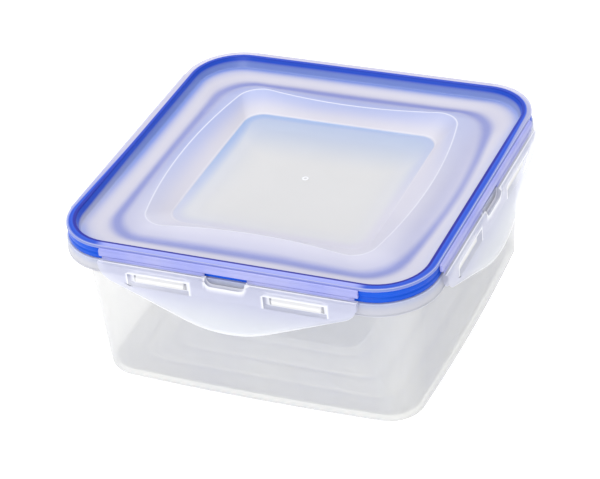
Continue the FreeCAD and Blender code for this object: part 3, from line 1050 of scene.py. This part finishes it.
@dataclass
class Lid:
    """The lid: sunken panel, crest, valley, web, rim with its seal channel, hinge plates."""

    crown: float
    seat: float
    lip_half: float
    plate_face: float
    plate_bottom: float
    plate_half: float
    sheet: float = 1.3
    lip_corner: float = 23.2
    lip_height: float = 1.2
    rim_top: float = 3.9
    rim_lean: float = 1.4
    web_inset: float = 8.5
    valley_inset: float = 16.0
    valley_corner: float = 16.0
    valley_depth: float = 1.5
    crest_inset_side: float = 28.2
    crest_inset_end: float = 23.5
    crest_bulge: float = 4.7
    crest_pinch: float = 4.0
    crest_corner: float = 10.0
    crest_height: float = 2.0
    panel_inset: float = 35.0
    panel_corner: float = 8.0
    panel_depth: float = 3.5
    panel_border: float = 6.0
    panel_border_corner: float = 3.0
    plate_drop: float = 0.8
    plate_slant: float = 0.7
    # mark_place: the profile value that the lid material paints with a highlight.
    mark_place: float = -2.0
    mark_section: tuple[tuple[float, float], ...] = (
        (0.0, 0.02), (0.5, 0.02), (0.7, 0.18), (1.05, 0.24), (1.35, 0.14), (1.6, 0.02))
    mark_steps: int = 24

    @property
    def web(self) -> float:
        """Height of the flat web's top."""
        return self.seat + self.sheet

    @property
    def valley_half(self) -> float:
        """Half width of the valley."""
        return self.lip_half - self.valley_inset

    @property
    def panel_half(self) -> float:
        """Half width of the sunken panel."""
        return self.lip_half - self.panel_inset

    @property
    def panel_height(self) -> float:
        """Height of the sunken panel's top."""
        return self.web - self.panel_depth

    def rim_ring(self, inset: float, z: float, ease: float = 0.0) -> Ring:
        """A ring parallel to the lip, inset from it."""
        return Ring(self.lip_half - inset, self.lip_corner - inset, z, ease)

    def dish(self, drop: float) -> list[Ring]:
        """The dish from the panel's edge to the web's inner edge, lowered by drop."""
        crest = Ring(self.lip_half - self.crest_inset_side, self.crest_corner,
                     self.web + self.crest_height - drop, 0.55,
                     half_y=self.lip_half - self.crest_inset_end,
                     bulge_x=self.crest_bulge, bulge_y=-self.crest_pinch)
        return [Ring(self.panel_half, self.panel_corner, self.panel_height - drop, 1.2), crest,
                Ring(self.valley_half, self.valley_corner, self.web - self.valley_depth - drop, 4.0),
                self.rim_ring(self.web_inset, self.web - drop, 1.5)]

    def shell(self) -> bpy.types.Object:
        """The lid's moulding without its hinge plates."""
        foot = self.rim_top + self.rim_lean
        lip_bottom = self.crown - self.lip_height
        inner, inner_low = (Ring(self.panel_half - self.panel_border,
                                 self.panel_corner - self.panel_border_corner, z)
                            for z in (self.panel_height, self.panel_height - self.sheet))
        rings = [inner] + self.dish(0.0)
        rings += [self.rim_ring(foot, self.web, 0.7), self.rim_ring(self.rim_top, self.crown, 0.45),
                  self.rim_ring(0.0, self.crown, 0.75), self.rim_ring(0.0, lip_bottom, 0.2),
                  self.rim_ring(self.rim_top - self.sheet, lip_bottom, 0.2),
                  self.rim_ring(foot - self.sheet, self.seat, 0.4)]
        rings += list(reversed(self.dish(self.sheet))) + [inner_low]
        return SkinnedBody(rings, ease_steps=4, side_steps=21, corner_steps=13).build("lid_shell")

    def plate(self, side: Side) -> bpy.types.Object:
        """The upright plate under the lip that carries a flap."""
        top = self.crown - self.plate_drop
        face = self.lip_half + HAIR
        section = [(face, self.plate_bottom), (self.plate_face, self.plate_bottom),
                   (self.plate_face, top - self.plate_slant),
                   (self.plate_face - self.plate_slant, top), (face, top)]
        mesh = bmesh.new()
        prism(mesh, section, -self.plate_half, self.plate_half, steps=12)
        piece = turned_piece(mesh, side, "hinge_plate")
        soften(piece, 0.25)
        return piece

    def gate_mark(self) -> bpy.types.Object:
        """The small round scar where the lid was moulded: a ring, where the solid has a dimple."""
        mesh = bmesh.new()
        shine = mesh.verts.layers.float.new("profile")
        steps = self.mark_steps
        rows = []
        for radius, height in self.mark_section[1:]:
            angles = [2 * math.pi * i / steps for i in range(steps)]
            rows.append([mesh.verts.new(Vector((radius * math.cos(a), radius * math.sin(a),
                                                self.panel_height + height)) * MM) for a in angles])
        # These rows take mark_place, so the lid material paints the ring with its highlight.
        for vert in rows[1] + rows[2] + rows[3]:
            vert[shine] = self.mark_place
        middle = mesh.verts.new(Vector((0, 0, self.panel_height + self.mark_section[0][1])) * MM)
        fan(mesh, rows[0], middle)
        for inner, outer in zip(rows, rows[1:]):
            bridge(mesh, inner, outer)
        bmesh.ops.recalc_face_normals(mesh, faces=mesh.faces)
        return finish_mesh(mesh, "gate_mark")

    def build(self, finish: LidPlastic) -> list[bpy.types.Object]:
        """Make, dress and place the lid's pieces.

        Args:
            finish: the lid's plastic.

        Returns:
            The pieces.
        """
        material = finish.build("milky lid plastic", self)
        tinted = finish.plates("tinted lid plastic")
        shell, mark = self.shell(), self.gate_mark()
        plates = [self.plate(side) for side in Side]
        pieces = [shell, mark] + plates
        for piece in pieces:
            dress(piece, tinted if piece in plates else material)
            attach(piece, "lid")
        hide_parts("lid")
        return pieces


@dataclass
class Seal:
    """The silicone ring in the lid's channel, with two lips moulded along its outside."""

    outer: float
    inner: float
    bottom: float
    top: float
    outer_corner: float

    def ring(self, half: float, z: float, ease: float) -> Ring:
        """A ring parallel to the seal's outside."""
        return Ring(half, self.outer_corner - (self.outer - half), z, ease)

    def build(self, finish: Silicone) -> list[bpy.types.Object]:
        """Make, dress and place the seal.

        Args:
            finish: the seal's silicone.

        Returns:
            The one piece.
        """
        middle = (self.bottom + self.top) / 2
        groove = self.outer - 0.3
        rings = [self.ring(self.inner, self.top, 0.4), self.ring(self.inner, self.bottom, 0.4),
                 self.ring(self.outer, self.bottom, 0.5), self.ring(self.outer, middle - 0.7, 0.25),
                 self.ring(groove, middle - 0.3, 0.2), self.ring(groove, middle + 0.3, 0.2),
                 self.ring(self.outer, middle + 0.7, 0.25), self.ring(self.outer, self.top, 0.5)]
        piece = SkinnedBody(rings, loop=True, side_steps=9).build("seal_ring")
        dress(piece, finish.build("blue seal silicone"))
        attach(piece, "lid")
        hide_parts("seal")
        return [piece]


@dataclass
class Flap:
    """One locking flap: a flared plate with a notch and two splayed catch windows."""

    half: float
    top: float
    bottom: float
    inside: float
    sheet: float = 2.1
    crease_drop: float = 9.2
    flare_inside: float = 14.6
    flare_outside: float = 11.3
    slant: float = 19.67
    bow: float = 55.0
    end_corner: float = 8.0
    top_corner: float = 0.97
    notch_half: float = 8.3
    notch_depth: float = 3.2
    notch_corner: float = 2.4
    window_near: float = 17.4
    window_far: float = 39.8
    window_head_drop: float = 3.6
    window_sill_drop: float = 8.3
    splay_end: float = 1.8
    splay_sill: float = 0.85
    top_bevel: float = 1.0
    skirt_rows: int = 5

    @property
    def level_reach(self) -> float:
        """How far along the flap its mesh rows stay level."""
        return self.window_far + 2.0

    @property
    def crease(self) -> float:
        """Height where the flap starts to flare."""
        return self.top - self.crease_drop

    @property
    def end_height(self) -> float:
        """Height where the flap's end would meet its slanted edge."""
        turn = math.radians(90 - self.slant) / 2
        return self.top - self.top_corner - self.end_corner * math.tan(turn)

    def edge(self, along: float) -> float:
        """Height of the flap's lower edge at a place along it.

        Args:
            along: distance from the flap's middle.

        Returns:
            The height.
        """
        place = abs(along)
        slant = math.radians(self.slant)
        point = self.end_height - self.half * math.tan(slant)
        if place < self.bow * math.sin(slant):
            centre = point + self.bow / math.cos(slant)
            return centre - math.sqrt(self.bow ** 2 - place ** 2)
        corner_x = self.half - self.end_corner
        reach = self.end_corner
        corner_z = self.end_height + reach * math.tan(math.radians(90 - self.slant) / 2)
        if place > corner_x + reach * math.sin(slant):
            return corner_z - math.sqrt(max(reach ** 2 - (place - corner_x) ** 2, 0.0))
        return point + place * math.tan(slant)

    def out(self, z: float, outer: bool) -> float:
        """How far out the flap's inner or outer face lies at a height."""
        fall = max(self.crease - z, 0.0)
        lean = self.flare_outside if outer else self.flare_inside
        return self.inside + (self.sheet if outer else 0.0) + fall * math.tan(math.radians(lean))

    def columns(self) -> list[float]:
        """Places along the flap where the mesh has a column of points."""
        half_set = [0.0, 2.8, self.notch_half - self.notch_corner]
        half_set += [self.notch_half - self.notch_corner * (1 - math.sin(math.radians(a)))
                     for a in (30, 60)]
        half_set += [self.notch_half, 10.6, 13.2]
        inner = self.window_near
        step = (self.window_far - self.window_near) / 6
        half_set += [inner + step * i for i in range(7)]
        turn_x = self.half - self.end_corner
        half_set += [43.6, turn_x + self.end_corner * 0.34]
        half_set += [turn_x + self.end_corner * math.sin(math.radians(a)) for a in (35, 50, 63, 75, 84, 90)]
        return sorted({-value for value in half_set} | set(half_set))

    def levels(self, along: float) -> list[float]:
        """Heights of the mesh rows at a place along the flap, from the top down."""
        head = self.top - self.window_head_drop
        sill = self.top - self.window_sill_drop
        low = self.edge(along)
        inner_edge = self.notch_half - self.notch_corner
        notch = self.top - self.notch_depth
        if abs(along) <= self.notch_half + 1e-6:
            lift = 0.0
            if abs(along) > inner_edge:
                across = min((abs(along) - inner_edge) / self.notch_corner, 1.0)
                lift = self.notch_corner * (1 - math.sqrt(1 - across ** 2))
            head = notch + lift
        rows = [self.top, self.top - self.top_bevel, head, sill, self.crease]
        reference = self.edge(self.level_reach)
        if abs(along) > self.level_reach:
            share = (self.top - low) / (self.top - reference)
            rows = [self.top - (self.top - z) * share for z in rows]
        last = rows[-1]
        rows += [last + (low - last) * (i + 1) / self.skirt_rows for i in range(self.skirt_rows)]
        return rows

    def is_open(self, along_a: float, along_b: float, row: int) -> bool:
        """Whether the cell between two columns, below this row, is part of a hole."""
        middle = abs((along_a + along_b) / 2)
        if row < 2:
            return middle < self.notch_half
        return row == 2 and self.window_near < middle < self.window_far

    def splayed(self, along: float, z: float, row: int) -> tuple[float, float]:
        """Where a point of the outer face goes so that a window's mouth is wider than its hole."""
        place = abs(along)
        sign = 1.0 if along > 0 else -1.0
        on_near = abs(place - self.window_near) < 1e-6
        on_far = abs(place - self.window_far) < 1e-6
        if row in (2, 3) and on_near:
            along -= sign * self.splay_end
        if row in (2, 3) and on_far:
            along += sign * self.splay_end
        if row == 3 and self.window_near - 1e-6 < place < self.window_far + 1e-6:
            z -= self.splay_sill
        return along, z

    def panel(self, side: Side) -> bpy.types.Object:
        """The flap's mesh: two faces joined along the outline and round every hole."""
        columns = self.columns()
        mesh = bmesh.new()
        layers = []
        for outer in (False, True):
            layer = []
            for along in columns:
                stack = []
                for row, z in enumerate(self.levels(along)):
                    place, height = along, z
                    out = self.out(z, outer)
                    if outer:
                        place, height = self.splayed(along, z, row)
                        if row == 0:
                            out -= self.top_bevel
                    stack.append(mesh.verts.new(Vector((place, -out, height)) * MM))
                layer.append(stack)
            layers.append(layer)
        for which, layer in enumerate(layers):
            for i in range(len(columns) - 1):
                for row in range(len(layer[0]) - 1):
                    if self.is_open(columns[i], columns[i + 1], row):
                        continue
                    corners = [layer[i][row], layer[i + 1][row],
                               layer[i + 1][row + 1], layer[i][row + 1]]
                    mesh.faces.new(corners if which == 0 else corners[::-1])
        partner = {}
        for inner_stack, outer_stack in zip(*layers):
            for inner, outer in zip(inner_stack, outer_stack):
                partner[inner] = outer
        inner_set = set(partner)
        edge_layer = mesh.verts.layers.float.new("edge")
        for vert in mesh.verts:
            vert[edge_layer] = float(any(e.is_boundary for e in vert.link_edges))
        open_edges = [e for e in mesh.edges if e.is_boundary and e.verts[0] in inner_set]
        for edge in open_edges:
            a, b = edge.verts
            mesh.faces.new((a, b, partner[b], partner[a]))
        loose = [v for v in mesh.verts if not v.link_faces]
        bmesh.ops.delete(mesh, geom=loose, context="VERTS")
        bmesh.ops.remove_doubles(mesh, verts=mesh.verts, dist=2e-6)
        piece = turned_piece(mesh, side, "locking_flap")
        soften(piece, 0.32, angle=32.0)
        return piece

    def build(self, material: bpy.types.Material, side: Side) -> list[bpy.types.Object]:
        """Make, dress and place one flap.

        Args:
            material: the flaps' plastic.
            side: which side it is on.

        Returns:
            The one piece.
        """
        piece = self.panel(side)
        dress(piece, material)
        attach(piece, f"flap_{side.label}")
        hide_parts(f"flap_{side.label}")
        return [piece]


@dataclass
class LivingHinge:
    """The thin webs between a flap and its hinge plate, which bend as the flap turns."""

    near: float
    far: float
    low: float
    high: float
    out: float
    sheet: float = 0.4
    waist_share: float = 0.36
    flare_share: float = 0.14
    rows: int = 8

    def build(self, material: bpy.types.Material, side: Side) -> list[bpy.types.Object]:
        """Make, dress and place a side's two webs.

        Args:
            material: the webs' plastic.
            side: which side they are on.

        Returns:
            The one piece that holds both webs.
        """
        mesh = bmesh.new()
        heights = [self.low + (self.high - self.low) * i / self.rows for i in range(self.rows + 1)]
        waist = [self.sheet * (self.waist_share + self.flare_share * abs(2 * i / self.rows - 1))
                 for i in range(self.rows + 1)]
        front = [(self.out + thick, z) for thick, z in zip(waist, heights)]
        back = [(self.out - thick, z) for thick, z in zip(waist, heights)]
        section = front + back[::-1]
        prism(mesh, section, self.near, self.far, steps=10)
        prism(mesh, section, -self.far, -self.near, steps=10)
        piece = turned_piece(mesh, side, "hinge_webs")
        dress(piece, material)
        along = side.turn @ Vector((0, -self.out, 0))
        start = (along.x * MM, along.y * MM, self.high * MM)
        end = (along.x * MM, along.y * MM, self.low * MM)
        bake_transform(piece, "lid", f"flap_{side.label}", start=start, end=end)
        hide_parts(f"living_hinge_{side.label}")
        return [piece]


# ---------------------------------------------------------------- studio


@dataclass
class Studio:
    """Pale sweep, soft lights and camera."""

    azimuth: float = 25.87
    elevation: float = 33.62
    roll: float = -6.0
    distance: float = 1008.5
    slide_right: float = -7.56
    slide_up: float = 26.7
    lens: float = 144.4
    air_light: float = 0.53
    floor_half: float = 3.0
    floor_steps: int = 24
    sweep_start: float = 1.4
    sweep_rate: float = 0.55

    def floor(self) -> None:
        """A wide plain floor with a gently rolled far edge."""
        mesh = bmesh.new()
        span = self.floor_half
        rows = []
        for i in range(self.floor_steps + 1):
            y = -span + 2 * span * i / self.floor_steps
            z = 0.0 if y < self.sweep_start else (y - self.sweep_start) ** 2 * self.sweep_rate
            rows.append([mesh.verts.new((x, y, z)) for x in (-span, -span / 2, 0.0, span / 2, span)])
        for row, following in zip(rows, rows[1:]):
            bridge(mesh, row, following, closed=False)
        sweep = finish_mesh(mesh, "floor_sweep")
        sweep.data.materials.append(PaleFloor().build("pale floor"))

    def lamp(self, name: str, place: Sequence[float], size: float, power: float) -> None:
        """A square soft lamp aimed at the canister.

        Args:
            name: the lamp's name.
            place: where it stands, in metres.
            size: its width in metres.
            power: its power in watts.
        """
        data = bpy.data.lights.new(name, "AREA")
        data.shape = "SQUARE"
        data.size = size
        data.energy = power
        lamp = bpy.data.objects.new(name, data)
        lamp.location = place
        aim = Vector((0, 0, 0.04)) - Vector(place)
        lamp.rotation_euler = aim.to_track_quat("-Z", "Y").to_euler()
        bpy.context.scene.collection.objects.link(lamp)

    def camera(self) -> None:
        """The camera, slightly rolled, above the front-right corner."""
        angles = (self.azimuth, self.elevation, self.roll)
        azimuth, elevation, roll = (math.radians(angle) for angle in angles)
        back = Vector((math.sin(azimuth) * math.cos(elevation),
                       -math.cos(azimuth) * math.cos(elevation), math.sin(elevation)))
        right = Vector((math.cos(azimuth), math.sin(azimuth), 0))
        up = back.cross(right)
        turned_right = right * math.cos(roll) + up * math.sin(roll)
        turned_up = up * math.cos(roll) - right * math.sin(roll)
        place = back * self.distance + turned_right * self.slide_right + turned_up * self.slide_up
        data = bpy.data.cameras.new("camera")
        data.lens = self.lens
        data.sensor_width = 36.0
        data.clip_start = 0.05
        data.clip_end = 20.0
        camera = bpy.data.objects.new("camera", data)
        frame = Matrix((turned_right, turned_up, back)).transposed().to_4x4()
        frame.translation = place * MM
        camera.matrix_world = frame
        bpy.context.scene.collection.objects.link(camera)
        bpy.context.scene.camera = camera

    def build(self) -> None:
        """Set up floor, light and camera."""
        scene = bpy.context.scene
        scene.view_settings.view_transform = "Standard"
        world = bpy.data.worlds.new("studio air")
        world.use_nodes = True
        air = world.node_tree.nodes["Background"]
        air.inputs["Color"].default_value = (1.0, 1.0, 1.0, 1.0)
        air.inputs["Strength"].default_value = self.air_light
        scene.world = world
        self.floor()
        self.lamp("overhead", (-0.2, 0.4, 1.5), 1.4, 18.0)
        self.lamp("front", (0.0, -1.8, 0.75), 0.8, 10.0)
        self.camera()


# ---------------------------------------------------------------- assembly


def millimetres(node: str) -> tuple[np.ndarray, np.ndarray]:
    """A CAD node's lowest and highest corner in millimetres."""
    low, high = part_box(node)
    return np.array(low) / MM, np.array(high) / MM


def main() -> None:
    """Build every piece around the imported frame."""
    logging.basicConfig(level=logging.INFO, format="%(name)s: %(message)s")
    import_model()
    _, tub_high = millimetres("tub")
    _, lid_high = millimetres("lid")
    seal_low, seal_high = millimetres("seal")
    flap_low, flap_high = millimetres("flap_front")
    web_low, web_high = millimetres("living_hinge_front")
    lip_half = float(seal_high[0]) + SEAL_SETBACK
    tub = Tub(top=float(tub_high[2]), rim_half=lip_half + SKIRT_MARGIN, lug_tip=float(tub_high[0]))
    lid = Lid(crown=float(lid_high[2]), seat=float(seal_low[2]), lip_half=lip_half,
              plate_face=float(lid_high[0]), plate_bottom=float(web_high[2]),
              plate_half=float(flap_high[0]))
    seal = Seal(outer=float(seal_high[0]), inner=float(seal_high[0]) - SEAL_WIDTH,
                bottom=float(seal_low[2]), top=float(seal_high[2]),
                outer_corner=lid.lip_corner - SEAL_SETBACK)
    flap = Flap(half=float(flap_high[0]), top=float(flap_high[2]), bottom=float(flap_low[2]),
                inside=-float(flap_high[1]))
    webs = LivingHinge(near=flap.notch_half + NOTCH_TO_WEB, far=float(web_high[0]), low=float(web_low[2]),
                       high=float(web_high[2]), out=-float(web_low[1] + web_high[1]) / 2)
    pieces = tub.build(TubPlastic()) + lid.build(LidPlastic()) + seal.build(Silicone())
    flap_material = FlapPlastic().build("milky flap plastic", flap)
    web_material = LidPlastic().plates("tinted web plastic")
    for side in Side:
        pieces += flap.build(flap_material, side) + webs.build(web_material, side)
    for piece in pieces:
        LOG.info("%s: %d faces", piece.name, len(piece.data.polygons))
    Studio().build()


if __name__ == "__main__":
    main()
